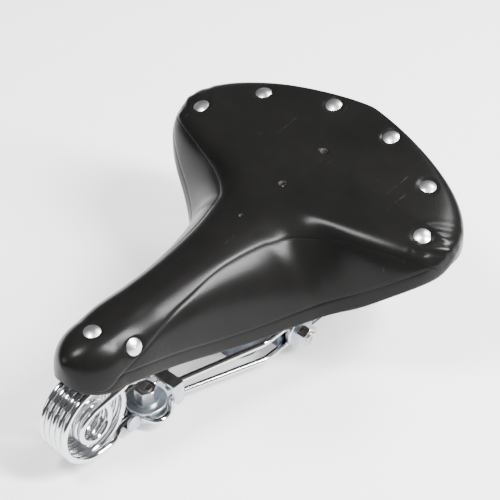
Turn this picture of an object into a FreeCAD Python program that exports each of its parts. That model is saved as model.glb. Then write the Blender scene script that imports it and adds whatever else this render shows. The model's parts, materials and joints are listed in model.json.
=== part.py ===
import FreeCAD, Part
import math
import os

# A sprung leather bicycle saddle with its seatpost clamp.  Millimetres.
# +Z is up, the nose points along -Y, +X is the rider's left.
# The origin is the middle of the clamp bore's lower mouth, where the seatpost enters.

V = FreeCAD.Vector
X_AXIS = V(1, 0, 0)
Y_AXIS = V(0, 1, 0)
Z_AXIS = V(0, 0, 1)
SIDES = (("left", 1), ("right", -1))
SKY = 200.0                  # above everything, for cuts that run right through

# ---- leather top -------------------------------------------------------------
SEAT_LENGTH = 267.0          # nose tip to tail
SEAT_WIDTH = 218.0           # across the widest part of the tail
NOSE_TIP_Y = -142.0          # front of the nose, ahead of the post's axis
NOSE_TOP_Z = 96.0            # top of the leather at the middle nose rivet
LEATHER = 4.5                # thickness of the leather
SKIN_GAP = 0.3               # between the leather's underside and the steel below it
VENT_RADII = (1.5, 2.5, 2.5)
VENT_ALONG = (0.554, 0.690, 0.829)

# Cross-sections of the leather between its rounded ends.  Each gives the share of the seat's
# length, the share of its half width, the heights of crown and lower edge from NOSE_TOP_Z,
# and the two roundness exponents.
SECTIONS = (
    (0.105, 0.212, -0.4, -31.5, 2.4, 2.4),
    (0.150, 0.230, 0.6, -33.5, 2.5, 2.3),
    (0.243, 0.250, 1.0, -40.0, 2.5, 2.0),
    (0.356, 0.298, 2.0, -48.0, 2.5, 1.7),
    (0.468, 0.385, 4.0, -51.0, 2.4, 1.5),
    (0.543, 0.459, 5.6, -50.0, 2.4, 1.4),
    (0.610, 0.560, 6.8, -46.5, 2.4, 1.35),
    (0.648, 0.688, 7.2, -39.0, 2.8, 1.45),
    (0.678, 0.826, 7.5, -27.0, 3.6, 2.0),
    (0.715, 0.936, 8.0, -18.0, 4.6, 2.8),
    (0.760, 0.991, 8.8, -14.0, 5.0, 3.6),
    (0.798, 1.000, 10.0, -10.0, 5.0, 4.5),
)
NOSE_END = (-13.0, -24.0, 2.2, 2.2)      # crown, edge and exponents at the nose tip
TAIL_END = (19.8, 5.0, 4.0, 4.0)         # and at the tail
NOSE_ANGLES = (86, 70, 52, 34, 16)       # where the rounded ends are cut into sections
TAIL_ANGLES = (18, 35, 50, 63, 74, 83)

# ---- rivets ------------------------------------------------------------------
RIVET_HEAD_R = 5.2
RIVET_DOME = 1.4             # height of the domed head
RIVET_SHANK_R = 2.0
RIVET_GRIP = 6.2             # from the head's seat to the end of the shank
RIVET_SINK = 0.8             # depth of the flat seat pressed into the leather
RIVET_FIT = 0.1              # round the head and the shank
NOSE_RIVETS = ((0.0, 0.0936), (0.185, 0.1442), (-0.185, 0.1442))
TAIL_RIVETS = ((0.835, 0.7723), (0.620, 0.8959), (0.2165, 0.9599))

# ---- wire of the springs and rails -------------------------------------------
WIRE_R = 2.05
WIRE_GAP = 0.15              # between two wires that meet end to end
BEND_R = 14.0

# ---- nose spring -------------------------------------------------------------
COIL_Y = -127.0
COIL_R = 24.6                # to the middle of the wire
COIL_GAP = 0.5               # between neighbouring turns
COIL_NEAR_X = 8.4            # where the large coil runs on into the left lower wire
COIL_LEAD = 12.0             # straight wire behind the coil, clear of its next turn
COIL_TURNS = 5
HEART_R = 12.3               # the small coil inside the large one
HEART_TURNS = 4
CURL_GAP = 6.0               # degrees between curl and small coil, more than the seat flexes
ARM_ANGLE = 112.0            # where the arm leaves the small coil, from the rear over the top

# ---- rails -------------------------------------------------------------------
RAIL_X = 27.0                # half the distance between the left and right rails
RAIL_SPREAD = 14.0           # between an upper rail and the lower rail under it
STRAIGHT_FRONT_Y = -4.0      # the clamp slides on the straight stretch
STRAIGHT_REAR_Y = 55.0
FRONT_CLIP_Y = -97.5
STRAND_GAP = 0.8             # between the two lower wires in the front clip
REAR_CLIP_Y = -65.0
REAR_CLIP_X = 8.0            # the four wires where they pass the rear clip
CLIP_UPPER_Z = 17.0
CLIP_STEEL = 1.8
CLIP_WIDTH = 8.5
CLIP_ROOM = 1.7              # between a wire and the tab beside it
LOOP_X = 16.9                # widest reach of the lower wires round the king bolt
LOOP_Z = 7.0

# ---- king bolt, which holds the two lower wires together ---------------------
KING_Y = -80.0
KING_R = 4.0
KING_PLATE_R = 13.0
KING_PLATE = 2.0
NUT_FLATS = 12.0
NUT_HEIGHT = 6.5
KING_NUT_HEIGHT = 8.0
KING_PROUD = 0.6             # of the king bolt above its nut
KING_HEAD = 4.5
WASHER_R = 8.0
WASHER = 1.6
SPACER_R = 8.5               # sleeve between the two plates
LOOP_AHEAD = 6.0             # straight wire beside the king bolt, ahead of it
LOOP_BEHIND = 3.0            # and behind

# ---- seatpost clamp ----------------------------------------------------------
POST_R = 11.1                # for a 22.2 mm post
COLLAR_WALL = 3.0
COLLAR_HEIGHT = 26.0
BOLT_Y = 24.0
BOLT_Z = COLLAR_HEIGHT / 2
BOLT_R = 3.95
BOLT_FIT = 0.06              # round the bolt, in each piece that turns on it
EAR_REACH = 11.0             # collar ears behind the bolt
TOOTH_WASHER = 3.2
TOOTH_WASHER_R = 11.0
TOOTH_COUNT = 24
CHEEK_LENGTH = 31.0
CHEEK_HEIGHT = 20.5
CHEEK_GAP = 2.2              # between a cheek and its outer cap
GROOVE_FIT = 0.08            # round a rail, in cheek and cap
CAP_R = 10.6
CAP = 3.4
LOCK_WASHER = 1.5
LOCK_WASHER_R = 6.9
BOLT_PROUD = 1.8
SPACER_BEHIND = 9.0          # the block reaches behind the bolt
CHEEK_ROUND = 6.0            # corner radius of a cheek
CAP_ROUND = 1.4
SPACER_SHORT = 1.5           # the block stops short of the collar's two edges

# ---- rear springs ------------------------------------------------------------
SPRING_X = 38.0
SPRING_Y = 88.0
SPRING_R = 13.8              # to the middle of the wire
SPRING_WIRE_R = 2.2
SPRING_TURNS = 6
SPRING_LOW_Z = 29.0
SPRING_HIGH_Z = 91.5
CUP_R = 17.0
CUP = 2.0
BLOCK_LENGTH = 24.0
BLOCK_WIDTH = 15.0
BLOCK_HEIGHT = 15.0
STRAP = 3.0
SMALL_BOLT_R = 3.0
SMALL_NUT_FLATS = 10.0
SMALL_NUT = 5.0
SMALL_HEAD = 4.0
UPPER_GRIP = 4.0             # of the upper bolt in the cantle plate's boss
BOSS_R = 9.0
BLOCK_AHEAD = 2.0            # the block reaches further forward than back
RAIL_END_WALL = 4.0          # steel between a rail's end and the bolt
LOW_END_RISE = 4.0           # lower rail above the block's underside
HIGH_END_DROP = 4.5          # upper rail below the block's top
STRAP_WIDTH = 16.0

# ---- steel under the leather -------------------------------------------------
STEEL = 2.0                  # wall of the cantle plate and the nose cup
CANTLE_HOLE_R = 33.0
CANTLE_HOLE_Y = 60.0
CANTLE_FRONT_Y = 64.0
CANTLE_DEPTH = 8.0           # lower edges below NOSE_TOP_Z
NOSE_CUP_DEPTH = 24.0
NOSE_CUP_REAR_Y = -90.0
TAB_Y = -94.0                # the tab that the tension bolt pulls against
TAB_WIDTH = 14.0
TENSION_R = 3.0
TENSION_FRONT_Y = -103.5
TENSION_REAR_Y = -80.0
EYE_R = 4.6
ARM_CLEAR = 1.1              # between the spring's arm and the large coil that it swings out past

# ---- values that follow from the ones above ----------------------------------
UPPER_Z = BOLT_Z + RAIL_SPREAD / 2
LOWER_Z = BOLT_Z - RAIL_SPREAD / 2
COIL_Z = LOOP_Z + COIL_R
COIL_PITCH = 2 * WIRE_R + COIL_GAP
HEART_X = COIL_PITCH * HEART_TURNS / 2
COIL_END_X = COIL_NEAR_X - COIL_PITCH * COIL_TURNS
ARM_REACH_X = max(COIL_NEAR_X, HEART_X) + 2 * WIRE_R + ARM_CLEAR
STRAND_X = WIRE_R + STRAND_GAP / 2
ARM_START_Y = COIL_Y + HEART_R * math.cos(math.radians(ARM_ANGLE))
ARM_START_Z = COIL_Z + HEART_R * math.sin(math.radians(ARM_ANGLE))
ARM_SLOPE = -1 / math.tan(math.radians(ARM_ANGLE))
TENSION_Z = ARM_START_Z + ARM_SLOPE * (TENSION_FRONT_Y - ARM_START_Y)
BLOCK_TOP_Z = SPRING_LOW_Z - CUP
BLOCK_FRONT_Y = SPRING_Y - BLOCK_LENGTH / 2 - BLOCK_AHEAD
RAIL_END_Y = SPRING_Y - SMALL_BOLT_R - RAIL_END_WALL
EAR_X = POST_R + COLLAR_WALL
TOOTH_X = EAR_X + TOOTH_WASHER
CHEEK_OUT_X = RAIL_X - CHEEK_GAP / 2
CAP_IN_X = RAIL_X + CHEEK_GAP / 2
CAP_OUT_X = CAP_IN_X + CAP
NUT_IN_X = CAP_OUT_X + LOCK_WASHER
NUT_OUT_X = NUT_IN_X + NUT_HEIGHT
KING_TOP_Z = LOOP_Z + WIRE_R + KING_PLATE
LOW_END_Z = BLOCK_TOP_Z - BLOCK_HEIGHT + LOW_END_RISE
HIGH_END_Z = BLOCK_TOP_Z - HIGH_END_DROP
UPPER_BOLT_Z = SPRING_HIGH_Z + CUP + UPPER_GRIP


def save(shape, name):
    shape.exportStep("parts/" + name + ".step")


def along(share):
    return NOSE_TIP_Y + share * SEAT_LENGTH


def tube_x(radius, x1, x2, y, z):
    return Part.makeCylinder(radius, x2 - x1, V(x1, y, z), X_AXIS)


def rod_z(radius, x, y, z1, z2):
    return Part.makeCylinder(radius, z2 - z1, V(x, y, z1), Z_AXIS)


def box(x1, x2, y1, y2, z1, z2):
    return Part.makeBox(x2 - x1, y2 - y1, z2 - z1, V(x1, y1, z1))


def hexagon(flats, height, base, axis):
    """A hexagonal prism with chamfered corners, standing on base along axis."""
    corner = flats / math.sqrt(3)
    points = [V(corner * math.cos(math.radians(60 * i)), corner * math.sin(math.radians(60 * i)), 0)
              for i in range(7)]
    prism = Part.Face(Part.makePolygon(points)).extrude(V(0, 0, height))
    cone = Part.makeCone(corner + height - 0.6, corner - 0.6, height)
    prism = prism.common(cone)
    prism.Placement = FreeCAD.Placement(base, FreeCAD.Rotation(Z_AXIS, axis))
    return prism


def wire_rod(points, radius, bend=BEND_R):
    """A round wire along straight runs joined by tangent arcs."""
    runs = [(b - a).Length for a, b in zip(points, points[1:])]
    edges = []
    start = points[0]
    for i in range(1, len(points) - 1):
        before = (points[i] - points[i - 1]).normalize()
        after = (points[i + 1] - points[i]).normalize()
        half = before.getAngle(after) / 2
        reach = min(bend * math.tan(half), 0.45 * min(runs[i - 1], runs[i]))
        arc_r = reach / math.tan(half)
        inward = (after - before).normalize()
        first = points[i] - before * reach
        last = points[i] + after * reach
        middle = points[i] + inward * (arc_r / math.cos(half) - arc_r)
        edges.append(Part.LineSegment(start, first).toShape())
        edges.append(Part.Arc(first, middle, last).toShape())
        start = last
    edges.append(Part.LineSegment(start, points[-1]).toShape())
    path = Part.Wire(edges)
    ring = Part.Wire(Part.makeCircle(radius, points[0], points[1] - points[0]))
    return path.makePipeShell([ring], True, False)


def coil(radius, wire_r, pitch, turns, base, axis, start_angle=0.0):
    """A round wire wound in a helix about axis, standing on base: its half turns, end to end."""
    helix = Part.makeHelix(pitch, pitch / 2, radius)
    ring = Part.Wire(Part.makeCircle(wire_r, V(radius, 0, 0), V(0, 1, 0)))
    half_turn = Part.Wire(helix).makePipeShell([ring], True, True)
    half_turn.rotate(V(0, 0, 0), Z_AXIS, start_angle)
    upright = FreeCAD.Placement(base, FreeCAD.Rotation(Z_AXIS, axis))
    wound = []
    for i in range(2 * turns):
        climb = FreeCAD.Placement(V(0, 0, pitch / 2 * i), FreeCAD.Rotation(Z_AXIS, 180 * i))
        piece = half_turn.copy()
        piece.Placement = upright * climb * half_turn.Placement
        wound.append(piece)
    return wound


# ---- leather surfaces --------------------------------------------------------
def seat_sections():
    """All cross-sections, the two rounded ends worked out as quarter ellipses."""
    def rounded(inner, end, end_share, angles):
        found = []
        for degrees in angles:
            angle = math.radians(degrees)
            ease = 1 - math.cos(angle)
            share = inner[0] + (end_share - inner[0]) * math.sin(angle)
            blend = [a + (b - a) * ease for a, b in zip(inner[2:], end)]
            found.append((share, inner[1] * math.cos(angle), *blend))
        return found
    nose = rounded(SECTIONS[0], NOSE_END, 0.0, NOSE_ANGLES)
    tail = rounded(SECTIONS[-1], TAIL_END, 1.0, TAIL_ANGLES)
    return nose + list(SECTIONS) + tail


def section_wire(section, inset):
    """One closed cross-section: the rounded outer line, shut by a straight line below."""
    share, width, crown, edge, n, m = section
    middle = NOSE_TIP_Y + SEAT_LENGTH / 2
    y = middle + (along(share) - middle) * (1 - 2 * inset / SEAT_LENGTH)
    half = max(width * SEAT_WIDTH / 2 - inset, 0.7 * width * SEAT_WIDTH / 2)
    top = NOSE_TOP_Z + crown - inset
    low = NOSE_TOP_Z + edge - 2.5 * inset
    points = []
    steps = 16
    for i in range(steps + 1):
        angle = math.pi * (i / steps - 0.5)
        x = half * math.copysign(abs(math.sin(angle)) ** (2 / n), angle)
        z = low + (top - low) * max(math.cos(angle), 0.0) ** (2 / m)
        points.append(V(x, y, z))
    curve = Part.BSplineCurve()
    curve.interpolate(points)
    return Part.Wire([curve.toShape(), Part.LineSegment(points[-1], points[0]).toShape()])


def seat_body(inset):
    """The seat as a filled body, its surface drawn in by inset."""
    return Part.makeLoft([section_wire(s, inset) for s in seat_sections()], True, False, False)


def on_surface(body, x, y):
    """The point of the body's top over x, y, and the outward normal there."""
    def top(px, py):
        line = Part.makeLine(V(px, py, 0), V(px, py, SKY)).common(body)
        return max(v.Z for v in line.Vertexes)
    step = 1.0
    slope_x = (top(x + step, y) - top(x - step, y)) / (2 * step)
    slope_y = (top(x, y + step) - top(x, y - step)) / (2 * step)
    return V(x, y, top(x, y)), V(-slope_x, -slope_y, 1).normalize()


def rivet_places(body, places, mirrored):
    found = []
    for share_x, share_y in places:
        for side in ((1, -1) if mirrored else (1,)):
            found.append(on_surface(body, side * share_x * SEAT_WIDTH / 2, along(share_y)))
    return found


def seat_of(point, normal):
    return point - normal * RIVET_SINK


def rivet(point, normal):
    """A domed head on a shank that runs down through the leather and the steel."""
    ball_r = (RIVET_HEAD_R ** 2 + RIVET_DOME ** 2) / (2 * RIVET_DOME)
    half = math.asin(RIVET_HEAD_R / ball_r) / 2
    crown = V(ball_r * math.sin(half), 0, RIVET_DOME - ball_r + ball_r * math.cos(half))
    rim = V(RIVET_HEAD_R, 0, 0)
    top = V(0, 0, RIVET_DOME)
    line = [Part.Arc(rim, crown, top).toShape()]
    corners = (top, V(0, 0, -RIVET_GRIP), V(RIVET_SHANK_R, 0, -RIVET_GRIP), V(RIVET_SHANK_R, 0, 0), rim)
    for a, b in zip(corners, corners[1:]):
        line.append(Part.LineSegment(a, b).toShape())
    body = Part.Face(Part.Wire(line)).revolve(V(0, 0, 0), Z_AXIS, 360)
    body.Placement = FreeCAD.Placement(seat_of(point, normal), FreeCAD.Rotation(Z_AXIS, normal))
    return body


def rivet_room(point, normal):
    """What a rivet clears away: its flat seat and its hole."""
    seat = seat_of(point, normal)
    pocket = Part.makeCylinder(RIVET_HEAD_R + RIVET_FIT, 8, seat, normal)
    hole = Part.makeCylinder(RIVET_SHANK_R + RIVET_FIT, 20, seat + normal, normal * -1)
    return pocket.fuse(hole)


def leather_top(outer, rivets):
    shell = outer.cut(seat_body(LEATHER))
    for point, normal in rivets:
        shell = shell.cut(rivet_room(point, normal))
    for share, radius in zip(VENT_ALONG, VENT_RADII):
        shell = shell.cut(rod_z(radius, 0, along(share), 0, SKY))
    return shell


def steel_skin():
    return seat_body(LEATHER + SKIN_GAP).cut(seat_body(LEATHER + SKIN_GAP + STEEL))


def cantle_plate(skin, rivets):
    """The crescent plate under the tail, with two flat bosses for the rear springs."""
    half = SEAT_WIDTH / 2
    low = NOSE_TOP_Z - CANTLE_DEPTH
    plate = skin.common(box(-half, half, CANTLE_FRONT_Y, along(1), low, SKY))
    plate = plate.cut(rod_z(CANTLE_HOLE_R, 0, CANTLE_HOLE_Y, 0, SKY))
    inside = seat_body(LEATHER + SKIN_GAP + STEEL / 2)
    for _, side in SIDES:
        x = side * SPRING_X
        boss = rod_z(BOSS_R, x, SPRING_Y, SPRING_HIGH_Z + CUP, SKY).common(inside)
        plate = plate.fuse(boss)
        plate = plate.cut(rod_z(SMALL_BOLT_R, x, SPRING_Y, 0, UPPER_BOLT_Z))
    for point, normal in rivets:
        plate = plate.cut(rivet_room(point, normal))
    return plate


def nose_cup(skin, rivets):
    """The pressed cup under the nose, with a tab down for the tension bolt."""
    half = SEAT_WIDTH / 2
    low = NOSE_TOP_Z - NOSE_CUP_DEPTH
    cup = skin.common(box(-half, half, NOSE_TIP_Y, NOSE_CUP_REAR_Y, low, SKY))
    inside = seat_body(LEATHER + SKIN_GAP + STEEL / 2)
    half_tab = TAB_WIDTH / 2
    tab = box(-half_tab, half_tab, TAB_Y - STEEL / 2, TAB_Y + STEEL / 2, TENSION_Z - half_tab, SKY)
    tab = tab.common(inside)
    cup = cup.fuse(tab)
    hole = Part.makeCylinder(TENSION_R + BOLT_FIT, 20, V(0, TAB_Y - 10, TENSION_Z), Y_AXIS)
    cup = cup.cut(hole)
    for point, normal in rivets:
        cup = cup.cut(rivet_room(point, normal))
    return cup


# ---- nose spring and tension bolt --------------------------------------------
def nose_spring():
    """The large coil, and the curl at its far end that leads into the small coil."""
    base = V(COIL_NEAR_X, COIL_Y, COIL_Z)
    turns = coil(COIL_R, WIRE_R, COIL_PITCH, COIL_TURNS, base, X_AXIS * -1, 180)
    points = []
    steps = 8
    for i in range(steps + 1):
        share = i / steps
        ease = share * share * (3 - 2 * share)
        angle = math.radians(270 + (ARM_ANGLE + CURL_GAP - 270) * share)
        radius = COIL_R + (HEART_R - COIL_R) * ease
        x = COIL_END_X + (-HEART_X - COIL_END_X) * ease
        points.append(V(x, COIL_Y + radius * math.cos(angle), COIL_Z + radius * math.sin(angle)))
    curl = Part.BSplineCurve()
    curl.interpolate(points)
    ring = Part.Wire(Part.makeCircle(WIRE_R, points[0], curl.tangent(0)[0]))
    curl = Part.Wire(curl.toShape()).makePipeShell([ring], True, False)
    return Part.Compound(turns + [curl])


def heart_spring():
    """The small coil and the arm that rises from it to carry the nose."""
    base = V(HEART_X, COIL_Y, COIL_Z)
    turns = coil(HEART_R, WIRE_R, COIL_PITCH, HEART_TURNS, base, X_AXIS * -1, 90 - ARM_ANGLE)
    turns = [turn.mirror(V(0, 0, 0), X_AXIS) for turn in turns]
    start = V(HEART_X, ARM_START_Y, ARM_START_Z)
    lead = start + V(0, 3, 3 * ARM_SLOPE)
    corner = V(ARM_REACH_X, TENSION_FRONT_Y, TENSION_Z)
    end = V(-EYE_R, TENSION_FRONT_Y, TENSION_Z)
    arm = wire_rod([start, lead, corner, end], WIRE_R, 5.0)
    return Part.Compound(turns + [arm])


def tension_bolt():
    """An eye bolt along the middle, hooked on the spring's arm."""
    neck = TENSION_FRONT_Y + EYE_R - 1
    shank = Part.makeCylinder(TENSION_R, TENSION_REAR_Y - neck, V(0, neck, TENSION_Z), Y_AXIS)
    eye = tube_x(EYE_R, -TENSION_R, TENSION_R, TENSION_FRONT_Y, TENSION_Z)
    hole = tube_x(WIRE_R, -10, 10, TENSION_FRONT_Y, TENSION_Z)
    return shank.fuse(eye).cut(hole)


def tension_nut():
    base = V(0, TAB_Y + STEEL / 2, TENSION_Z)
    nut = hexagon(SMALL_NUT_FLATS, SMALL_NUT, base, Y_AXIS)
    return nut.cut(Part.makeCylinder(TENSION_R + BOLT_FIT, 40, base - Y_AXIS * 20, Y_AXIS))


# ---- rails, clips and king bolt ----------------------------------------------
def lower_rail(side):
    """From the nose, round the king bolt, under the clamp and into the spring block."""
    half_clip = CLIP_WIDTH / 2
    points = [V(side * STRAND_X, FRONT_CLIP_Y - CLIP_WIDTH, LOOP_Z)]
    if side > 0:
        points = [V(COIL_NEAR_X, COIL_Y + WIRE_GAP, LOOP_Z),
                  V(COIL_NEAR_X, COIL_Y + COIL_LEAD, LOOP_Z),
                  V(STRAND_X, FRONT_CLIP_Y - half_clip - CLIP_ROOM, LOOP_Z)]
    points += [V(side * STRAND_X, FRONT_CLIP_Y + half_clip + CLIP_ROOM, LOOP_Z),
               V(side * LOOP_X, KING_Y - LOOP_AHEAD, LOOP_Z),
               V(side * LOOP_X, KING_Y + LOOP_BEHIND, LOOP_Z),
               V(side * REAR_CLIP_X, REAR_CLIP_Y - half_clip, LOOP_Z),
               V(side * REAR_CLIP_X, REAR_CLIP_Y + half_clip, LOOP_Z),
               V(side * RAIL_X, STRAIGHT_FRONT_Y, LOWER_Z),
               V(side * RAIL_X, STRAIGHT_REAR_Y, LOWER_Z),
               V(side * SPRING_X, BLOCK_FRONT_Y, LOW_END_Z),
               V(side * SPRING_X, RAIL_END_Y, LOW_END_Z)]
    return wire_rod(points, WIRE_R)


def upper_rail(side):
    points = [V(side * REAR_CLIP_X, REAR_CLIP_Y - CLIP_WIDTH / 2, CLIP_UPPER_Z),
              V(side * REAR_CLIP_X, REAR_CLIP_Y + CLIP_WIDTH / 2, CLIP_UPPER_Z),
              V(side * RAIL_X, STRAIGHT_FRONT_Y, UPPER_Z),
              V(side * RAIL_X, STRAIGHT_REAR_Y, UPPER_Z),
              V(side * SPRING_X, BLOCK_FRONT_Y, HIGH_END_Z),
              V(side * SPRING_X, RAIL_END_Y, HIGH_END_Z)]
    return wire_rod(points, WIRE_R)


def clip(y, inner_x, plate_z, tip_z):
    """A strip across the wires, its two ends folded to rounded tabs beside them."""
    outer_x = inner_x + CLIP_STEEL
    half = CLIP_WIDTH / 2
    turn = 1 if tip_z > plate_z else -1
    strip = box(-outer_x, outer_x, y - half, y + half, plate_z - CLIP_STEEL / 2,
                plate_z + CLIP_STEEL / 2)
    round_z = tip_z - turn * half
    for _, side in SIDES:
        x1 = min(side * inner_x, side * outer_x)
        tab = box(x1, x1 + CLIP_STEEL, y - half, y + half, min(plate_z, round_z), max(plate_z, round_z))
        tab = tab.fuse(tube_x(half, x1, x1 + CLIP_STEEL, y, round_z))
        strip = strip.fuse(tab)
    return strip.removeSplitter()


def front_clip():
    return clip(FRONT_CLIP_Y, STRAND_X + WIRE_R + CLIP_ROOM,
                LOOP_Z - WIRE_R - CLIP_STEEL / 2, LOOP_Z + 6.5)


def rear_clip():
    return clip(REAR_CLIP_Y, REAR_CLIP_X + WIRE_R + CLIP_ROOM,
                CLIP_UPPER_Z + WIRE_R + CLIP_STEEL / 2, LOOP_Z - 2.5)


def king_plate(low_z):
    plate = rod_z(KING_PLATE_R, 0, KING_Y, low_z, low_z + KING_PLATE)
    plate = plate.makeFillet(KING_PLATE * 0.4, plate.Edges[:1])
    return plate.cut(rod_z(KING_R, 0, KING_Y, 0, SKY))


def king_spacer():
    sleeve = rod_z(SPACER_R, 0, KING_Y, LOOP_Z - WIRE_R, LOOP_Z + WIRE_R)
    return sleeve.cut(rod_z(KING_R, 0, KING_Y, -SKY, SKY))


def king_bolt():
    under = LOOP_Z - WIRE_R - KING_PLATE
    top = KING_TOP_Z + WASHER + KING_NUT_HEIGHT + KING_PROUD
    head = hexagon(NUT_FLATS, KING_HEAD, V(0, KING_Y, under - KING_HEAD), Z_AXIS)
    return head.fuse(rod_z(KING_R, 0, KING_Y, under, top))


def king_washer():
    ring = rod_z(WASHER_R, 0, KING_Y, KING_TOP_Z, KING_TOP_Z + WASHER)
    return ring.cut(rod_z(KING_R, 0, KING_Y, 0, SKY))


def king_nut():
    nut = hexagon(NUT_FLATS, KING_NUT_HEIGHT, V(0, KING_Y, KING_TOP_Z + WASHER), Z_AXIS)
    return nut.cut(rod_z(KING_R, 0, KING_Y, 0, SKY))


# ---- seatpost clamp ----------------------------------------------------------
def collar():
    """A strip bent round the post, its two ears on either side of the clamp bolt."""
    outer = rod_z(EAR_X, 0, 0, 0, COLLAR_HEIGHT)
    ears = box(-EAR_X, EAR_X, 0, BOLT_Y + EAR_REACH, 0, COLLAR_HEIGHT)
    inner = rod_z(POST_R, 0, 0, 0, COLLAR_HEIGHT)
    gap = box(-POST_R, POST_R, 0, BOLT_Y + EAR_REACH, 0, COLLAR_HEIGHT)
    strip = outer.fuse(ears).cut(inner).cut(gap)
    strip = strip.removeSplitter()
    return strip.cut(tube_x(BOLT_R + BOLT_FIT, -SKY, SKY, BOLT_Y, BOLT_Z))


def clamp_spacer():
    """The block between the ears, hollowed to the post."""
    half = POST_R - BOLT_FIT
    block = box(-half, half, POST_R * 0.6, BOLT_Y + SPACER_BEHIND,
                SPACER_SHORT, COLLAR_HEIGHT - SPACER_SHORT)
    block = block.cut(rod_z(POST_R + 0.4, 0, 0, 0, COLLAR_HEIGHT))
    return block.cut(tube_x(BOLT_R + BOLT_FIT, -SKY, SKY, BOLT_Y, BOLT_Z))


def tooth_washer(side):
    """A washer whose outer face is cut with radial teeth."""
    x1 = EAR_X if side > 0 else -TOOTH_X
    ring = tube_x(TOOTH_WASHER_R, x1, x1 + TOOTH_WASHER, BOLT_Y, BOLT_Z)
    ring = ring.cut(tube_x(BOLT_R, -SKY, SKY, BOLT_Y, BOLT_Z))
    notch = box(-0.45, 0.45, 0, 20, -0.45, 0.45)
    notch.rotate(V(0, 0, 0), Y_AXIS, 45)
    cuts = []
    for i in range(TOOTH_COUNT):
        cut = notch.copy()
        cut.translate(V(side * TOOTH_X, 0, 0) + V(0, 7.0, 0))
        cut.rotate(V(0, 0, 0), X_AXIS, 360 * i / TOOTH_COUNT)
        cut.translate(V(0, BOLT_Y, BOLT_Z))
        cuts.append(cut)
    return ring.cut(cuts)


def grooves(side):
    """The two channels that a pair of rails slides in."""
    channels = []
    reach = 60
    for z in (UPPER_Z, LOWER_Z):
        start = V(side * RAIL_X, BOLT_Y - reach, z)
        channels.append(Part.makeCylinder(WIRE_R + GROOVE_FIT, 2 * reach, start, Y_AXIS))
    return channels


def cheek(side):
    """The inner plate of one side, grooved for its two rails."""
    inner_x = side * TOOTH_X
    outer_x = side * CHEEK_OUT_X
    low_x = min(inner_x, outer_x)
    half = CHEEK_LENGTH / 2
    tall = CHEEK_HEIGHT / 2
    block = box(low_x, low_x + abs(outer_x - inner_x), BOLT_Y - half, BOLT_Y + half,
                BOLT_Z - tall, BOLT_Z + tall)
    corners = [e for e in block.Edges if abs(e.tangentAt(e.FirstParameter).x) > 0.9]
    block = block.makeFillet(CHEEK_ROUND, corners)
    block = block.cut(grooves(side))
    return block.cut(tube_x(BOLT_R, -SKY, SKY, BOLT_Y, BOLT_Z))


def cap(side):
    """The round outer cap, grooved on its inner face and domed outside."""
    low_x = CAP_IN_X if side > 0 else -CAP_OUT_X
    disc = tube_x(CAP_R, low_x, low_x + CAP, BOLT_Y, BOLT_Z)
    rim = [e for e in disc.Edges if e.Closed and abs(e.CenterOfMass.x - side * CAP_OUT_X) < 0.01]
    disc = disc.makeFillet(CAP_ROUND, rim)
    disc = disc.cut(grooves(side))
    return disc.cut(tube_x(BOLT_R, -SKY, SKY, BOLT_Y, BOLT_Z))


def clamp_bolt():
    """A stud threaded at both ends, right across the clamp."""
    end = NUT_OUT_X + BOLT_PROUD
    stud = Part.makeCylinder(BOLT_R, 2 * end, V(-end, BOLT_Y, BOLT_Z), X_AXIS)
    return stud.makeChamfer(0.7, [e for e in stud.Edges if e.Closed])


def lock_washer(side):
    low_x = CAP_OUT_X if side > 0 else -NUT_IN_X
    ring = tube_x(LOCK_WASHER_R, low_x, low_x + LOCK_WASHER, BOLT_Y, BOLT_Z)
    return ring.cut(tube_x(BOLT_R, -SKY, SKY, BOLT_Y, BOLT_Z))


def clamp_nut(side):
    nut = hexagon(NUT_FLATS, NUT_HEIGHT, V(side * NUT_IN_X, BOLT_Y, BOLT_Z), X_AXIS * side)
    return nut.cut(tube_x(BOLT_R, -SKY, SKY, BOLT_Y, BOLT_Z))


# ---- rear springs ------------------------------------------------------------
def rear_spring(side):
    """A coil standing between two cups, as tall as the gap between them."""
    pitch = (SPRING_HIGH_Z - SPRING_LOW_Z - 2 * SPRING_WIRE_R) / SPRING_TURNS
    base = V(side * SPRING_X, SPRING_Y, SPRING_LOW_Z + SPRING_WIRE_R)
    return Part.Compound(coil(SPRING_R, SPRING_WIRE_R, pitch, SPRING_TURNS, base, Z_AXIS))


def spring_cup(side, low_z):
    cup = rod_z(CUP_R, side * SPRING_X, SPRING_Y, low_z, low_z + CUP)
    return cup.cut(rod_z(SMALL_BOLT_R, side * SPRING_X, SPRING_Y, 0, SKY))


def spring_block(side):
    """The block that holds the rear ends of one side's two rails."""
    x = side * SPRING_X
    half = BLOCK_WIDTH / 2
    block = box(x - half, x + half, BLOCK_FRONT_Y, BLOCK_FRONT_Y + BLOCK_LENGTH,
                BLOCK_TOP_Z - BLOCK_HEIGHT, BLOCK_TOP_Z)
    upright = [e for e in block.Edges if abs(e.tangentAt(e.FirstParameter).z) > 0.9]
    block = block.makeFillet(3.0, upright)
    for z in (LOW_END_Z, HIGH_END_Z):
        depth = RAIL_END_Y - BLOCK_FRONT_Y + 1
        block = block.cut(Part.makeCylinder(WIRE_R, depth, V(x, BLOCK_FRONT_Y - 1, z), Y_AXIS))
    return block.cut(rod_z(SMALL_BOLT_R, x, SPRING_Y, 0, SKY))


def rear_strap():
    """The flat strap under the two spring blocks."""
    end = SPRING_X + BLOCK_WIDTH / 2
    top = BLOCK_TOP_Z - BLOCK_HEIGHT
    half = STRAP_WIDTH / 2
    strap = box(-end, end, SPRING_Y - half, SPRING_Y + half, top - STRAP, top)
    upright = [e for e in strap.Edges if abs(e.tangentAt(e.FirstParameter).z) > 0.9]
    strap = strap.makeFillet(5.0, upright)
    for _, side in SIDES:
        strap = strap.cut(rod_z(SMALL_BOLT_R, side * SPRING_X, SPRING_Y, 0, SKY))
    return strap


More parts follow.
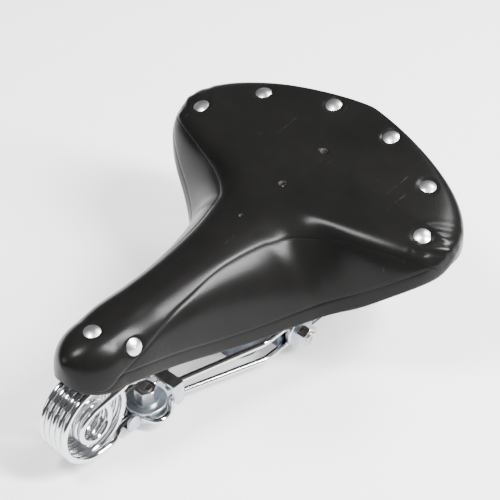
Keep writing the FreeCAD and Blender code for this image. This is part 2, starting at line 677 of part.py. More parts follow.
def low_bolt(side):
    """The bolt down through cup, block and strap; its head stands inside the spring."""
    x = side * SPRING_X
    end = BLOCK_TOP_Z - BLOCK_HEIGHT - STRAP - SMALL_NUT - 1
    head = hexagon(SMALL_NUT_FLATS, SMALL_HEAD, V(x, SPRING_Y, SPRING_LOW_Z), Z_AXIS)
    return head.fuse(rod_z(SMALL_BOLT_R, x, SPRING_Y, end, SPRING_LOW_Z))


def low_nut(side):
    x = side * SPRING_X
    top = BLOCK_TOP_Z - BLOCK_HEIGHT - STRAP
    nut = hexagon(SMALL_NUT_FLATS, SMALL_NUT, V(x, SPRING_Y, top - SMALL_NUT), Z_AXIS)
    return nut.cut(rod_z(SMALL_BOLT_R, x, SPRING_Y, 0, SKY))


def high_bolt(side):
    """The bolt up through the upper cup into the cantle plate's boss."""
    x = side * SPRING_X
    head = hexagon(SMALL_NUT_FLATS, SMALL_HEAD, V(x, SPRING_Y, SPRING_HIGH_Z - SMALL_HEAD), Z_AXIS)
    return head.fuse(rod_z(SMALL_BOLT_R, x, SPRING_Y, SPRING_HIGH_Z, UPPER_BOLT_Z))


def main():
    os.makedirs("parts", exist_ok=True)
    outer = seat_body(0)
    nose = rivet_places(outer, NOSE_RIVETS, False)
    tail = rivet_places(outer, TAIL_RIVETS, True)
    skin = steel_skin()
    save(leather_top(outer, nose + tail), "leather_top")
    save(Part.Compound([rivet(*place) for place in nose]), "nose_rivets")
    save(Part.Compound([rivet(*place) for place in tail]), "tail_rivets")
    save(nose_cup(skin, nose), "nose_cup")
    save(cantle_plate(skin, tail), "cantle_plate")
    save(tension_bolt(), "tension_bolt")
    save(tension_nut(), "tension_nut")
    save(nose_spring(), "nose_spring")
    save(heart_spring(), "heart_spring")
    save(front_clip(), "front_clip")
    save(rear_clip(), "rear_clip")
    save(king_plate(LOOP_Z + WIRE_R), "king_plate_upper")
    save(king_plate(LOOP_Z - WIRE_R - KING_PLATE), "king_plate_lower")
    save(king_spacer(), "king_spacer")
    save(king_bolt(), "king_bolt")
    save(king_washer(), "king_washer")
    save(king_nut(), "king_nut")
    save(collar(), "post_collar")
    save(clamp_spacer(), "clamp_spacer")
    save(clamp_bolt(), "clamp_bolt")
    save(rear_strap(), "rear_strap")
    for name, side in SIDES:
        save(lower_rail(side), "lower_rail_" + name)
        save(upper_rail(side), "upper_rail_" + name)
        save(tooth_washer(side), "tooth_washer_" + name)
        save(cheek(side), "clamp_cheek_" + name)
        save(cap(side), "clamp_cap_" + name)
        save(lock_washer(side), "lock_washer_" + name)
        save(clamp_nut(side), "clamp_nut_" + name)
        save(rear_spring(side), "rear_spring_" + name)
        save(spring_cup(side, BLOCK_TOP_Z), "lower_spring_cup_" + name)
        save(spring_cup(side, SPRING_HIGH_Z), "upper_spring_cup_" + name)
        save(spring_block(side), "spring_block_" + name)
        save(low_bolt(side), "lower_spring_bolt_" + name)
        save(low_nut(side), "lower_spring_nut_" + name)
        save(high_bolt(side), "upper_spring_bolt_" + name)


main()
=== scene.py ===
import json
import math

import bmesh
import bpy
import numpy as np
from mathutils import Matrix, Vector, kdtree


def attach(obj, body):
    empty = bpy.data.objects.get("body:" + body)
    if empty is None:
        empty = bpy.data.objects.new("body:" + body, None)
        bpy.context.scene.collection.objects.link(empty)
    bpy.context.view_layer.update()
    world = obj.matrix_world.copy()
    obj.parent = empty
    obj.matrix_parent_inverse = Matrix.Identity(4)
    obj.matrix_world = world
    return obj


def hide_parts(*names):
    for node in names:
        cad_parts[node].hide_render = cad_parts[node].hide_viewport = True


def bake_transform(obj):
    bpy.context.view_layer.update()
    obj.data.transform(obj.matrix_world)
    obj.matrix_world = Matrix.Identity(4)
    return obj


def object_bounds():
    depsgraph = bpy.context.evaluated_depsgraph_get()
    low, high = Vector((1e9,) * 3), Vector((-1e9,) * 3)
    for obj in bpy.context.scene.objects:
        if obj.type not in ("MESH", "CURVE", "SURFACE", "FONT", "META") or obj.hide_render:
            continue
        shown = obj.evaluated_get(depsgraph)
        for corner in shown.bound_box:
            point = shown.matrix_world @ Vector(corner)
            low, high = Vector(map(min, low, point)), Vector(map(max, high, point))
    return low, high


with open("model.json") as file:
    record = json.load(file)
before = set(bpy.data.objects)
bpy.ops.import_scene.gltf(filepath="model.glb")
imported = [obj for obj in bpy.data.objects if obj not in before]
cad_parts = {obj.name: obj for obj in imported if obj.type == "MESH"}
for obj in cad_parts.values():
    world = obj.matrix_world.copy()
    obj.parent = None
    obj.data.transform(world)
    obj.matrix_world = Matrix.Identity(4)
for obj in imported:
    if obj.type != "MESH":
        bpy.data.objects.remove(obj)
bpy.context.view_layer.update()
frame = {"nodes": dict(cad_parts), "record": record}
nodes = frame["nodes"]


# ---- Leather top ---------------------------------------------------------------
# One piece of 4.5 mm saddle hide, soaked and pressed over a former into the long nose,
# the waist and the broad tail.  Black on the grain side, with a creased line tooled along
# each flank and a hem line above the cut edge; three small vents are punched down the middle.
SEAT_LENGTH = 0.267
SEAT_WIDTH = 0.218
NOSE_TIP_Y = -0.142
NOSE_TOP_Z = 0.096
HIDE = 0.0045
# Cross-sections: share of the length, share of the half width, crown and lower edge in
# millimetres from NOSE_TOP_Z, and the exponents that square the section sideways and upwards.
SECTIONS = np.array((
    (0.105, 0.212, -0.4, -31.5, 2.4, 2.4), (0.150, 0.230, 0.6, -33.5, 2.5, 2.3),
    (0.243, 0.250, 1.0, -40.0, 2.5, 2.0), (0.356, 0.298, 2.0, -48.0, 2.5, 1.7),
    (0.468, 0.385, 4.0, -51.0, 2.4, 1.5), (0.543, 0.459, 5.6, -50.0, 2.4, 1.4),
    (0.610, 0.560, 6.8, -46.5, 2.4, 1.35), (0.648, 0.688, 7.2, -39.0, 2.8, 1.45),
    (0.678, 0.826, 7.5, -27.0, 3.6, 2.0), (0.715, 0.936, 8.0, -18.0, 4.6, 2.8),
    (0.760, 0.991, 8.8, -14.0, 5.0, 3.6), (0.798, 1.000, 10.0, -10.0, 5.0, 4.5)))
NOSE_END = np.array((-13.0, -24.0, 2.2, 2.2))
TAIL_END = np.array((19.8, 5.0, 4.0, 4.0))
TAIL_ROUND = 0.25
ROWS_NOSE, ROWS_MIDDLE, ROWS_TAIL = 26, 116, 50
ACROSS = 190
SAME_PLACE = 1e-6


def smooth_through(knots, values, at):
    """A smooth curve through the knots, flat where they turn back, read at one place."""
    i = int(np.clip(np.searchsorted(knots, at) - 1, 0, len(knots) - 2))
    step = knots[i + 1] - knots[i]
    slopes = np.gradient(values, knots, axis=0)
    t = (at - knots[i]) / step
    return ((2 * t ** 3 - 3 * t ** 2 + 1) * values[i] + (t ** 3 - 2 * t ** 2 + t) * step * slopes[i]
            + (3 * t ** 2 - 2 * t ** 3) * values[i + 1] + (t ** 3 - t ** 2) * step * slopes[i + 1])


def section_at(share):
    """Half width, crown, edge and the two exponents of the seat at a share of its length."""
    first, last = SECTIONS[0], SECTIONS[-1]
    if share < first[0]:
        lean = min(1.0, (first[0] - share) / first[0])
        level = math.sqrt(1 - lean ** 2)
        return first[1] * level, *(first[2:] + (NOSE_END - first[2:]) * (1 - level))
    if share > last[0]:
        lean = min(1.0, (share - last[0]) / (1 - last[0]))
        level = math.sqrt(1 - lean ** 2)
        rise = math.hypot(1, TAIL_ROUND) - math.hypot(level, TAIL_ROUND)
        return last[1] * level, *(last[2:] + (TAIL_END - last[2:]) * rise)
    return tuple(smooth_through(SECTIONS[:, 0], SECTIONS[:, 1:], share))


def hide_point(section, share, angle):
    """The grain side at an angle round the cross-section: 0 at the crown, 90 at an edge."""
    half, crown, edge, n, m = section
    sine, cosine = math.sin(math.radians(angle)), max(0.0, math.cos(math.radians(angle)))
    low, top = NOSE_TOP_Z + edge / 1000, NOSE_TOP_Z + crown / 1000
    return Vector((half * SEAT_WIDTH / 2 * math.copysign(abs(sine) ** (2 / n), sine),
                   NOSE_TIP_Y + share * SEAT_LENGTH, low + (top - low) * cosine ** (2 / m)))


def even_angles(section, share, count):
    """Angles that cut the cross-section into equal lengths."""
    steep, last_step = 80, 0.002
    near_edge = 90 - np.geomspace(90 - steep, last_step, 50)[1:]
    angles = np.concatenate((np.linspace(0, steep, 60), near_edge, [90]))
    points = np.array([hide_point(section, share, a) for a in angles])
    run = np.concatenate(([0], np.cumsum(np.linalg.norm(np.diff(points, axis=0), axis=1))))
    half = np.interp(np.linspace(0, run[-1], count // 2 + 1), run, angles)
    return np.concatenate((-half[:0:-1], half))


# The creased line, as shares of the length and angles round the section; the hem line, as a
# height above the cut edge and the shares where it starts and ends.
CREASE = np.array(((0.06, 86.0), (0.090, 77.7), (0.187, 55.2), (0.274, 36.5), (0.324, 30.7),
                   (0.398, 23.6), (0.475, 22.2), (0.552, 24.4), (0.606, 28.0), (0.640, 31.0),
                   (0.665, 35.0), (0.692, 43.6), (0.721, 60.8), (0.752, 82.0)))
HEM_HEIGHT, HEM_FROM, HEM_TO = 0.0092, 0.085, 0.735
LINE_POINTS = 700
lean = np.radians(np.linspace(90, 0, ROWS_NOSE, endpoint=False))
shares = np.concatenate((SECTIONS[0, 0] * (1 - np.sin(lean)),
                         np.linspace(SECTIONS[0, 0], SECTIONS[-1, 0], ROWS_MIDDLE, endpoint=False),
                         SECTIONS[-1, 0] + (1 - SECTIONS[-1, 0])
                         * np.sin(np.radians(np.linspace(0, 90, ROWS_TAIL + 1)))))
sections = [section_at(s) for s in shares]
row_angles = [even_angles(sec, s, ACROSS) for sec, s in zip(sections, shares)]


def line_tree(samples):
    """A lookup of the distance from any point to a line given by its samples."""
    tree = kdtree.KDTree(len(samples))
    for i, point in enumerate(samples):
        tree.insert(point, i)
    tree.balance()
    return tree


crease_line = []
for share in np.linspace(CREASE[0, 0], CREASE[-1, 0], LINE_POINTS):
    angle = float(smooth_through(CREASE[:, 0], CREASE[:, 1], share))
    crease_line.append(hide_point(section_at(share), share, angle))
hem_line = []
for share in np.linspace(HEM_FROM, HEM_TO, LINE_POINTS):
    section = section_at(share)
    drop = (section[1] - section[2]) / 1000
    angle = math.degrees(math.acos((HEM_HEIGHT / drop) ** (section[4] / 2)))
    hem_line.append(hide_point(section, share, angle))
crease_tree, hem_tree = line_tree(crease_line), line_tree(hem_line)

# Each point of the hide keeps how far it is, in millimetres, from the two lines and the edge.
shell = bmesh.new()
bmesh.ops.create_grid(shell, x_segments=ACROSS, y_segments=len(shares) - 1, size=1)
crease_layer = shell.verts.layers.float.new("crease")
hem_layer = shell.verts.layers.float.new("hem")
edge_layer = shell.verts.layers.float.new("edge")
for vert in shell.verts:
    row = round((vert.co.y + 1) / 2 * (len(shares) - 1))
    column = round((vert.co.x + 1) / 2 * ACROSS)
    share, section, angle = shares[row], sections[row], row_angles[row][column]
    vert.co = hide_point(section, share, angle)
    mirrored = Vector((abs(vert.co.x), vert.co.y, vert.co.z))
    inside = np.clip(share, CREASE[0, 0], CREASE[-1, 0])
    crease_angle = float(smooth_through(CREASE[:, 0], CREASE[:, 1], inside))
    below_crease = abs(angle) - crease_angle
    vert[crease_layer] = math.copysign(crease_tree.find(mirrored)[2], below_crease) * 1000
    low = NOSE_TOP_Z + section[2] / 1000
    below_hem = low + HEM_HEIGHT - vert.co.z
    vert[hem_layer] = math.copysign(hem_tree.find(mirrored)[2], below_hem) * 1000
    vert[edge_layer] = (vert.co.z - low) * 1000
bmesh.ops.remove_doubles(shell, verts=shell.verts[:], dist=SAME_PLACE)
bmesh.ops.dissolve_degenerate(shell, dist=SAME_PLACE, edges=shell.edges[:])
bmesh.ops.recalc_face_normals(shell, faces=shell.faces[:])
if sum(f.normal.z * f.calc_area() for f in shell.faces) < 0:
    bmesh.ops.reverse_faces(shell, faces=shell.faces[:])

# The rivets, as shares of half the width and of the length.
RIVETS = ((0.0, 0.0936), (0.185, 0.1442), (-0.185, 0.1442), (0.835, 0.7723), (-0.835, 0.7723),
          (0.620, 0.8959), (-0.620, 0.8959), (0.2165, 0.9599), (-0.2165, 0.9599))

# The hide is pressed down round each rivet and along the tooled lines, steps down below the
# crease, folds where it turns under at the corners of the tail, and is never quite even.
SEAT_R, SEAT_DEPTH, SEAT_FADE, SEAT_REACH = 0.0056, 0.0009, 0.0026, 0.006
CREASE_DEPTH, CREASE_WIDTH = 0.00035, 0.95
STEP_DEPTH, STEP_WIDTH = 0.00030, 5.0
HEM_DEPTH, HEM_WIDTH = 0.0003, 1.0
# Each fold: where it starts and ends, as shares and angles, and its depth in millimetres.
FOLDS = (((0.735, 50), (0.790, 84), 0.5), ((0.762, 46), (0.812, 80), 0.45),
         ((0.745, 66), (0.775, 86), 0.4), ((0.800, 40), (0.850, 72), 0.3))
FOLD_BEND, FOLD_WIDTH, RIDGE_SHARE, RIDGE_AWAY, RIDGE_WIDTH = 1.4, 1.8, 0.6, 4, 2.2
UNEVEN = 0.00010
EVEN_AT_NOSE, EVEN_AT_TAIL = 0.01, 0.03
fold_trees = []
for start, end, depth in FOLDS:
    points = []
    for t in np.linspace(0, 1, 60):
        share = start[0] + (end[0] - start[0]) * t
        angle = start[1] + (end[1] - start[1]) * (t ** FOLD_BEND)
        points.append(hide_point(section_at(share), share, angle))
    fold_trees.append((line_tree(points), depth))
shell.normal_update()
rivet_seats = []
for share_x, share_y in RIVETS:
    over = Vector((share_x * SEAT_WIDTH / 2, NOSE_TIP_Y + share_y * SEAT_LENGTH))
    upper_side = (v for v in shell.verts if v.normal.z > 0.2)
    under = min(upper_side, key=lambda v: (v.co.xy - over).length)
    rise = (under.normal.xy.dot(under.co.xy - over)) / under.normal.z
    rivet_seats.append((Vector((*over, under.co.z + rise)), under.normal.copy()))
pressed = []
for vert in shell.verts:
    dent = 0.0
    for point, normal in rivet_seats:
        off = vert.co - point
        height = off.dot(normal)
        away = (off - normal * height).length
        if away < SEAT_R + SEAT_FADE and abs(height) < SEAT_REACH:
            level = 1 - max(0, (away - SEAT_R) / SEAT_FADE)
            dent += max(0.0, SEAT_DEPTH + height) * level ** 2
    crease, hem = vert[crease_layer], vert[hem_layer]
    dent += CREASE_DEPTH * math.exp(-(crease / CREASE_WIDTH) ** 2)
    if crease > 0:
        dent += STEP_DEPTH * math.exp(-crease / STEP_WIDTH) * (1 - math.exp(-crease))
    dent += HEM_DEPTH * math.exp(-(hem / HEM_WIDTH) ** 2)
    mirrored = Vector((abs(vert.co.x), vert.co.y, vert.co.z))
    for tree, depth in fold_trees:
        away = tree.find(mirrored)[2] * 1000
        valley = math.exp(-(away / FOLD_WIDTH) ** 2)
        ridge = math.exp(-((away - RIDGE_AWAY) / RIDGE_WIDTH) ** 2)
        dent += depth / 1000 * (valley - RIDGE_SHARE * ridge)
    x, y = vert.co.xy
    wave = math.sin(y * 70 + 1.3) * math.sin(x * 55 + 0.4) + 0.6 * math.sin(y * 143 + x * 90)
    dent += UNEVEN * wave
    share = (y - NOSE_TIP_Y) / SEAT_LENGTH
    dent *= min(1.0, max(0.0, (1 - share) / EVEN_AT_TAIL - 0.3)) * min(1.0, share / EVEN_AT_NOSE)
    pressed.append(vert.co - vert.normal * dent)
for vert, place in zip(shell.verts, pressed):
    vert.co = place

# The punched vents, as their places along the middle and their radii.
VENTS = ((0.0059, 0.0015), (0.0422, 0.0025), (0.0793, 0.0025))
for y, radius in VENTS:
    middle = Vector((0, y))
    top = [f for f in shell.faces if f.normal.z > 0.5]
    near = [f for f in top if (f.calc_center_median().xy - middle).length < 2 * radius]
    around = list({e for f in near for e in f.edges})
    bmesh.ops.subdivide_edges(shell, edges=around, cuts=4, use_grid_fill=True)
    bmesh.ops.triangulate(shell, faces=[f for f in shell.faces if len(f.verts) > 4])
    punched = [f for f in shell.faces
               if f.normal.z > 0.5 and (f.calc_center_median().xy - middle).length < radius]
    rim = {v for f in punched for e in f.edges
           if any(beside not in punched for beside in e.link_faces) for v in e.verts}
    bmesh.ops.delete(shell, geom=punched, context="FACES")
    for vert in rim:
        vert.co.xy = middle + (vert.co.xy - middle).normalized() * radius
bmesh.ops.delete(shell, geom=[e for e in shell.edges if not e.link_faces], context="EDGES")
# The hide is pared thinner towards its rim at the tail.
PARED_LENGTH, PARED_SHARE = 0.016, 0.15
pared = shell.verts.layers.deform.verify()
for vert in shell.verts:
    to_tail = (NOSE_TIP_Y + SEAT_LENGTH - vert.co.y) / PARED_LENGTH
    vert[pared][0] = min(1.0, max(PARED_SHARE, to_tail))
leather_mesh = bpy.data.meshes.new("leather_hide")
shell.to_mesh(leather_mesh)
shell.free()
leather_mesh.polygons.foreach_set("use_smooth", [True] * len(leather_mesh.polygons))
leather = bpy.data.objects.new("leather_hide", leather_mesh)
bpy.context.scene.collection.objects.link(leather)
leather.vertex_groups.new(name="pared")
thickness = leather.modifiers.new("thickness", "SOLIDIFY")
thickness.vertex_group = "pared"
thickness.thickness = HIDE
thickness.offset = -1
thickness.material_offset = 1
thickness.material_offset_rim = 2


class Value:
    """A number that changes over a surface.  Sums written with it add Math nodes."""

    def __init__(self, finish, socket):
        self.finish, self.socket = finish, socket

    def maths(self, operation, *parts):
        return self.finish.add("ShaderNodeMath", {"operation": operation}, dict(enumerate(parts)))

    def __add__(self, other):
        return self.maths("ADD", self, other)

    def __radd__(self, other):
        return self.maths("ADD", other, self)

    def __sub__(self, other):
        return self.maths("SUBTRACT", self, other)

    def __rsub__(self, other):
        return self.maths("SUBTRACT", other, self)

    def __mul__(self, other):
        return self.maths("MULTIPLY", self, other)

    def __rmul__(self, other):
        return self.maths("MULTIPLY", other, self)

    def __abs__(self):
        return self.maths("ABSOLUTE", self)


class Finish:
    """One material: a Principled shader whose fixed sockets are given by name."""

    def __init__(self, name, **fixed):
        self.material = bpy.data.materials.new(name)
        self.material.use_nodes = True
        self.tree = self.material.node_tree
        self.shader = self.tree.nodes["Principled BSDF"]
        for socket, value in fixed.items():
            self.shader.inputs[socket.replace("_", " ")].default_value = value

    def add(self, kind, settings=None, inputs=None, out=0):
        node = self.tree.nodes.new(kind)
        for name, value in (settings or {}).items():
            setattr(node, name, value)
        for name, value in (inputs or {}).items():
            if isinstance(value, Value):
                self.tree.links.new(value.socket, node.inputs[name])
            else:
                node.inputs[name].default_value = value
        return Value(self, node.outputs[out])

    def feed(self, **sockets):
        for socket, value in sockets.items():
            self.tree.links.new(value.socket, self.shader.inputs[socket.replace("_", " ")])

    def place(self, scale=(1, 1, 1), turn=(0, 0, 0), shift=(0, 0, 0)):
        at = self.add("ShaderNodeTexCoord", out=3)
        inputs = {"Vector": at, "Scale": scale, "Rotation": turn, "Location": shift}
        return self.add("ShaderNodeMapping", {}, inputs)

    def noise(self, scale, detail=3.0, rough=0.55, at=None, distort=0.0):
        inputs = {"Vector": at or self.place(), "Scale": scale, "Detail": detail,
                  "Roughness": rough, "Distortion": distort}
        return self.add("ShaderNodeTexNoise", {}, inputs)

    def ramp(self, value, low, high, to_low=0.0, to_high=1.0):
        inputs = {"Value": value, "From Min": low, "From Max": high, "To Min": to_low, "To Max": to_high}
        return self.add("ShaderNodeMapRange", {"clamp": True}, inputs)

    def blend(self, share, first, second):
        first, second = (c if isinstance(c, Value) else (*c, 1) for c in (first, second))
        return self.add("ShaderNodeMix", {"data_type": "RGBA"}, {0: share, 6: first, 7: second}, out=2)

    def relief(self, height, depth, strength=1.0):
        """The height, from 0 to 1, as a bump of that real depth in metres."""
        inputs = {"Height": height, "Distance": depth, "Strength": strength}
        return self.add("ShaderNodeBump", {}, inputs)


# The grain side: close pores and a fine cross grain, worn brown on scratches and the edge, with painted
# shade darkening the tooled crease and hem lines.
GRAIN_BLACK, GRAIN_SHEEN = (0.0040, 0.0039, 0.0038), (0.0082, 0.0079, 0.0076)
GRAIN_WORN, LINE_PAINTED_SHADE = (0.040, 0.036, 0.033), (0.0012, 0.0012, 0.0012)
grain = Finish("black_grain_leather", Specular_IOR_Level=0.10)
pores = grain.add("ShaderNodeTexVoronoi", {"feature": "SMOOTH_F1"},
                  {"Vector": grain.place(), "Scale": 1150.0, "Smoothness": 0.6})
fine = grain.noise(620.0, 4.0, 0.6)
cross = grain.noise(420.0, 3.0, 0.6, grain.place(scale=(0.5, 2.6, 1.0), turn=(0, 0, 0.25)))
cloud = grain.noise(26.0, 4.0, 0.6)
broad = grain.noise(7.0, 2.0, 0.5)
crease_away = abs(grain.add("ShaderNodeAttribute", {"attribute_name": "crease"}, out=2))
hem_away = abs(grain.add("ShaderNodeAttribute", {"attribute_name": "hem"}, out=2))
above_edge = grain.add("ShaderNodeAttribute", {"attribute_name": "edge"}, out=2)
crease_groove_and_shade = grain.ramp(crease_away, 0.25, 0.75, 1.0, 0.0)
hem_groove_and_shade = grain.ramp(hem_away, 0.2, 0.6, 1.0, 0.0)
scratch = grain.noise(22.0, 5.0, 0.65, grain.place(scale=(14, 1.3, 3), turn=(0, 0, 0.9)))
scratch_mask = grain.ramp(scratch, 0.655, 0.69) * grain.ramp(cloud, 0.5, 0.62)
edge_wear = grain.ramp(above_edge, 0.4, 1.8, 1.0, 0.0) * grain.ramp(cloud, 0.42, 0.6)
colour = grain.blend(cloud, GRAIN_BLACK, GRAIN_SHEEN)
colour = grain.blend(scratch_mask * 0.5, colour, GRAIN_WORN)
colour = grain.blend(edge_wear * 0.6, colour, GRAIN_WORN)
# Painted shade: the tooled crease and hem grooves are darkened in the colour, on top of their bump.
colour = grain.blend(crease_groove_and_shade * 0.8 + hem_groove_and_shade * 0.6, colour, LINE_PAINTED_SHADE)
roughness = (0.17 + 0.10 * cloud + 0.07 * broad + 0.10 * scratch_mask + 0.25 * crease_groove_and_shade
             + 0.2 * edge_wear)
height = (0.42 * pores + 0.26 * fine + 0.32 * cross) - 1.6 * crease_groove_and_shade - 1.1 * hem_groove_and_shade
height = height - 0.35 * scratch_mask
grain.feed(Base_Color=colour, Roughness=roughness, Normal=grain.relief(height, 0.00009, 0.55))

# The flesh side and the punched and cut edges, where the brown fibre shows.
flesh = Finish("brown_flesh_side", Specular_IOR_Level=0.15)
fibre = flesh.noise(340.0, 6.0, 0.7, distort=0.6)
patch = flesh.noise(18.0, 3.0, 0.5)
flesh.feed(Base_Color=flesh.blend(flesh.ramp(patch * 0.5 + fibre * 0.5, 0.3, 0.7),
                                  (0.020, 0.015, 0.012), (0.060, 0.045, 0.034)),
           Roughness=0.82 + 0.14 * fibre, Normal=flesh.relief(fibre, 0.0006, 0.9))

cut_edge = Finish("dyed_cut_edge", Specular_IOR_Level=0.3)
layers = cut_edge.noise(160.0, 5.0, 0.65, cut_edge.place(scale=(1, 1, 7)))
cut_edge.feed(Base_Color=cut_edge.blend(cut_edge.ramp(layers, 0.35, 0.7),
                                        (0.006, 0.0055, 0.005), (0.05, 0.042, 0.035)),
              Roughness=0.55 + 0.2 * layers, Normal=cut_edge.relief(layers, 0.0003, 0.8))
for finish in (grain, flesh, cut_edge):
    leather_mesh.materials.append(finish.material)
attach(leather, "seat")
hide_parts("leather_top")


# ---- Rivets --------------------------------------------------------------------
# Nine domed rivets with nickelled heads: three hold the nose to its cup and six hold the
# tail to the cantle plate.  The heads are hammered home, so each is faintly dimpled.
nickel = Finish("nickelled_rivet", Metallic=1.0)
hammer = nickel.noise(330.0, 2.0, 0.5)
tarnish = nickel.noise(90.0, 5.0, 0.6)
nickel.feed(Base_Color=nickel.blend(nickel.ramp(tarnish, 0.35, 0.7),
                                    (0.80, 0.81, 0.80), (0.56, 0.57, 0.57)),
            Roughness=0.22 + 0.22 * tarnish, Normal=nickel.relief(hammer, 0.0006, 0.35))


# ---- Springs, rails and coils --------------------------------------------------
# Hard-drawn 4.1 mm spring wire, bent cold and chrome plated: the large and small coils at
# the nose and the two pairs of rails that run back through the clamp.
chrome = Finish("chromed_wire", Metallic=1.0)
haze = chrome.noise(60.0, 4.0, 0.6)
drawn = chrome.noise(900.0, 2.0, 0.5, chrome.place(scale=(1, 0.08, 1)))
specks = chrome.ramp(chrome.noise(520.0, 3.0, 0.6), 0.69, 0.75)
chrome.feed(Base_Color=chrome.blend(specks * 0.6, (0.70, 0.71, 0.73), (0.30, 0.29, 0.28)),
            Roughness=0.055 + 0.09 * haze + 0.2 * specks, Normal=chrome.relief(drawn, 0.00003, 0.4))


# ---- Pressed and turned steel --------------------------------------------------
# Clips, king plates, caps and washers are pressed from sheet and blue zinc plated.  Bolts,
# nuts and the teeth are plain bright steel; the cheeks and hidden plates are a darker plate.
def plated(name, bright, dull, rough):
    """A plated steel: cloudy colour, small pits, and brushed lines in the surface."""
    steel = Finish(name, Metallic=1.0)
    cloud = steel.noise(75.0, 5.0, 0.62)
    flecks = steel.noise(240.0, 3.0, 0.6)
    lines = steel.noise(500.0, 2.0, 0.5, steel.place(scale=(0.12, 1, 1), turn=(0, 0, 0.3)))
    pits = steel.ramp(steel.noise(700.0, 2.0, 0.5), 0.70, 0.76)
    steel.feed(Base_Color=steel.blend(steel.ramp(cloud * 0.6 + flecks * 0.4, 0.36, 0.66), bright, dull),
               Roughness=rough + 0.16 * cloud + 0.15 * pits,
               Normal=steel.relief(flecks * 0.5 + lines * 0.5 - pits, 0.00008, 0.5))
    return steel


zinc = plated("blue_zinc_plate", (0.66, 0.71, 0.76), (0.40, 0.44, 0.49), 0.22)
dark_steel = plated("dark_plated_steel", (0.15, 0.17, 0.20), (0.07, 0.08, 0.10), 0.26)
bright_steel = plated("bright_steel", (0.74, 0.75, 0.76), (0.46, 0.47, 0.48), 0.20)


# The bolts and studs carry threads, wound at about a millimetre round each one's own axis.
THREAD_PITCH = 0.00105


def threaded(name, axis, centre, pitch):
    """Bright steel with a thread wound round an axis through centre, its grooves darkened as painted
    shade.
    """
    steel = Finish(name, Metallic=1.0)
    at = steel.place(shift=tuple(-c for c in centre))
    xyz = [steel.add("ShaderNodeSeparateXYZ", {}, {"Vector": at}, out=i) for i in range(3)]
    along = xyz.pop(axis)
    turn = xyz[1].maths("ARCTAN2", xyz[1], xyz[0])
    wave = turn.maths("SINE", along * (2 * math.pi / pitch) + turn)
    cloud = steel.noise(90.0, 4.0, 0.6)
    thread_groove_shade = steel.ramp(wave, -0.9, 0.1, 1.0, 0.0)
    # Painted shade: the thread's grooves are darkened in the colour and made rougher.
    steel.feed(Base_Color=steel.blend(thread_groove_shade * 0.7, (0.72, 0.73, 0.74), (0.16, 0.16, 0.17)),
               Roughness=0.2 + 0.15 * cloud + 0.2 * thread_groove_shade, Normal=steel.relief(wave * 0.5, 0.0004, 0.8))
    return steel


finishes = {"leather": grain, "nickel": nickel, "chrome": chrome, "zinc": zinc, "steel": bright_steel,
            "dark_steel": dark_steel}
for entry in frame["record"]["subparts"]:
    node = nodes[entry["node"]]
    finish = finishes[entry["material_slot"]]
    node.data.materials.clear()
    node.data.materials.append(finish.material)
THREADS = (("king_bolt", 2, (0, -0.080, 0)), ("clamp_bolt", 0, (0, 0.024, 0.013)),
           ("tension_bolt", 1, (0, 0, 0.05436)),
           ("lower_spring_bolt_left", 2, (0.038, 0.088, 0)),
           ("lower_spring_bolt_right", 2, (-0.038, 0.088, 0)))
for name, axis, centre in THREADS:
    nodes[name].data.materials.clear()
    steel = threaded(name + "_steel", axis, centre, THREAD_PITCH)
    nodes[name].data.materials.append(steel.material)


# ---- Rear springs --------------------------------------------------------------
# Two open coils of 4.4 mm wire stand between the spring blocks and the cantle plate, in
# pressed cups.  They shorten as the rider sits.
COIL_R, COIL_WIRE_R, COIL_TURNS = 0.0138, 0.0022, 6
COIL_LOW_Z, COIL_HIGH_Z = 0.029, 0.0915
COIL_X, COIL_Y = 0.038, 0.088
COIL_STEPS, WIRE_SIDES = 40, 16
for side, x in (("left", COIL_X), ("right", -COIL_X)):
    middle = Vector((x, COIL_Y, COIL_LOW_Z + COIL_WIRE_R))
    wire = bmesh.new()
    bmesh.ops.create_circle(wire, segments=WIRE_SIDES, radius=COIL_WIRE_R, cap_ends=True)
    upright = Matrix.Rotation(math.pi / 2, 3, "X")
    bmesh.ops.rotate(wire, verts=wire.verts[:], cent=(0, 0, 0), matrix=upright)
    bmesh.ops.translate(wire, verts=wire.verts[:], vec=middle + Vector((COIL_R, 0, 0)))
    rise = (COIL_HIGH_Z - COIL_LOW_Z - 2 * COIL_WIRE_R) / (COIL_TURNS * COIL_STEPS)
    cap = wire.faces[:]
    bmesh.ops.duplicate(wire, geom=cap)
    bmesh.ops.spin(wire, geom=cap, cent=middle, axis=(0, 0, 1), angle=2 * math.pi * COIL_TURNS,
                   dvec=(0, 0, rise), steps=COIL_TURNS * COIL_STEPS)
    bmesh.ops.remove_doubles(wire, verts=wire.verts[:], dist=SAME_PLACE)
    bmesh.ops.recalc_face_normals(wire, faces=wire.faces[:])
    mesh = bpy.data.meshes.new("rear_coil_" + side)
    wire.to_mesh(mesh)
    wire.free()
    mesh.polygons.foreach_set("use_smooth", [len(p.vertices) == 4 for p in mesh.polygons])
    spring = bpy.data.objects.new("rear_coil_" + side, mesh)
    bpy.context.scene.collection.objects.link(spring)
    mesh.materials.append(chrome.material)
    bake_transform(spring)
    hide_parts("rear_spring_" + side)
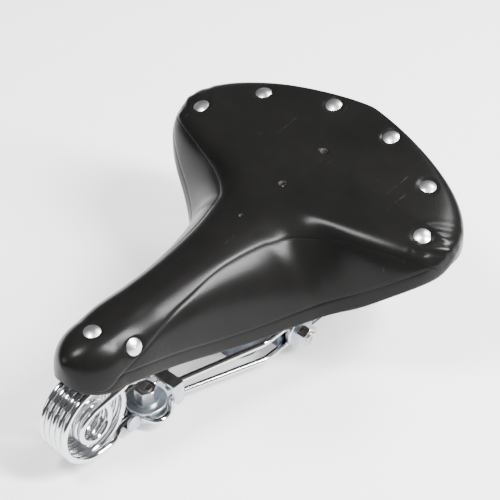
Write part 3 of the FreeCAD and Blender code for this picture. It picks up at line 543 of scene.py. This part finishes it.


# ---- Floor, light and camera ---------------------------------------------------
# A pale sheet just under the saddle that glows as painted light, brightest under the saddle and fading
# to grey away from it.  A long narrow soft light stands over the rider's left, with softer ones
# overhead, behind and ahead of the nose.
FLOOR_SIZE, FLOOR_GAP = 6, 0.0005
FADE_FROM, FADE_TO = 0.34, 0.85
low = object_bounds()[0][2]
sheet = bmesh.new()
bmesh.ops.create_grid(sheet, x_segments=1, y_segments=1, size=FLOOR_SIZE)
bmesh.ops.translate(sheet, verts=sheet.verts[:], vec=(0, 0, low - FLOOR_GAP))
floor_mesh = bpy.data.meshes.new("floor")
sheet.to_mesh(floor_mesh)
sheet.free()
floor = bpy.data.objects.new("floor", floor_mesh)
bpy.context.scene.collection.objects.link(floor)
floor_glow = Finish("pale_glowing_floor", Base_Color=(0.86, 0.86, 0.86, 1), Roughness=0.9, Specular_IOR_Level=0.1,
               Emission_Strength=0.50)
# Painted light: over its own pale colour the floor glows by emission, white under the saddle and grey
# further out.
away = floor_glow.add("ShaderNodeVectorMath", {"operation": "LENGTH"}, {0: floor_glow.place()}, out=1)
floor_glow.feed(Emission_Color=floor_glow.blend(floor_glow.ramp(away, FADE_FROM, FADE_TO),
                                      (1, 1, 1), (0.16, 0.16, 0.17)))
floor_mesh.materials.append(floor_glow.material)

world = bpy.data.worlds.new("studio")
bpy.context.scene.world = world
world.use_nodes = True
sky = world.node_tree.nodes["Background"]
sky.inputs["Color"].default_value = (0.96, 0.98, 1.0, 1)
sky.inputs["Strength"].default_value = 0.13


def soft_light(name, place, aim, width, depth, watts):
    lamp = bpy.data.lights.new(name, "AREA")
    lamp.shape = "RECTANGLE"
    lamp.size, lamp.size_y, lamp.energy = width, depth, watts
    holder = bpy.data.objects.new(name, lamp)
    facing = (Vector(aim) - Vector(place)).to_track_quat("-Z", "Y").to_matrix().to_4x4()
    holder.matrix_world = Matrix.Translation(place) @ facing
    bpy.context.scene.collection.objects.link(holder)


soft_light("strip", (0.97, 0.42, 1.10), (0, -0.02, 0.09), 0.22, 0.86, 85)
soft_light("overhead", (-0.25, -0.56, 1.58), (0, 0, 0.09), 0.42, 0.34, 34)
soft_light("rear", (0.10, 1.05, 1.25), (0, 0, 0.09), 0.5, 0.4, 24)
soft_light("front", (-0.9, -1.5, 0.9), (0, 0, 0.05), 0.7, 0.6, 10)

# The camera stands ahead and to the left, turned, tilted down and rolled by these degrees.
CAMERA_PLACE = (0.6652, -0.6691, 0.9404)
CAMERA_TURN, CAMERA_DOWN, CAMERA_ROLL = 44.3, 42.44, -1.29
lens = bpy.data.cameras.new("view")
lens.lens, lens.sensor_width = 153.3, 36
lens.clip_start, lens.clip_end = 0.01, 50
camera = bpy.data.objects.new("view", lens)
camera.matrix_world = (Matrix.Translation(CAMERA_PLACE)
                       @ Matrix.Rotation(math.radians(CAMERA_TURN), 4, "Z")
                       @ Matrix.Rotation(math.radians(90 - CAMERA_DOWN), 4, "X")
                       @ Matrix.Rotation(math.radians(CAMERA_ROLL), 4, "Z"))
bpy.context.scene.collection.objects.link(camera)
bpy.context.scene.camera = camera
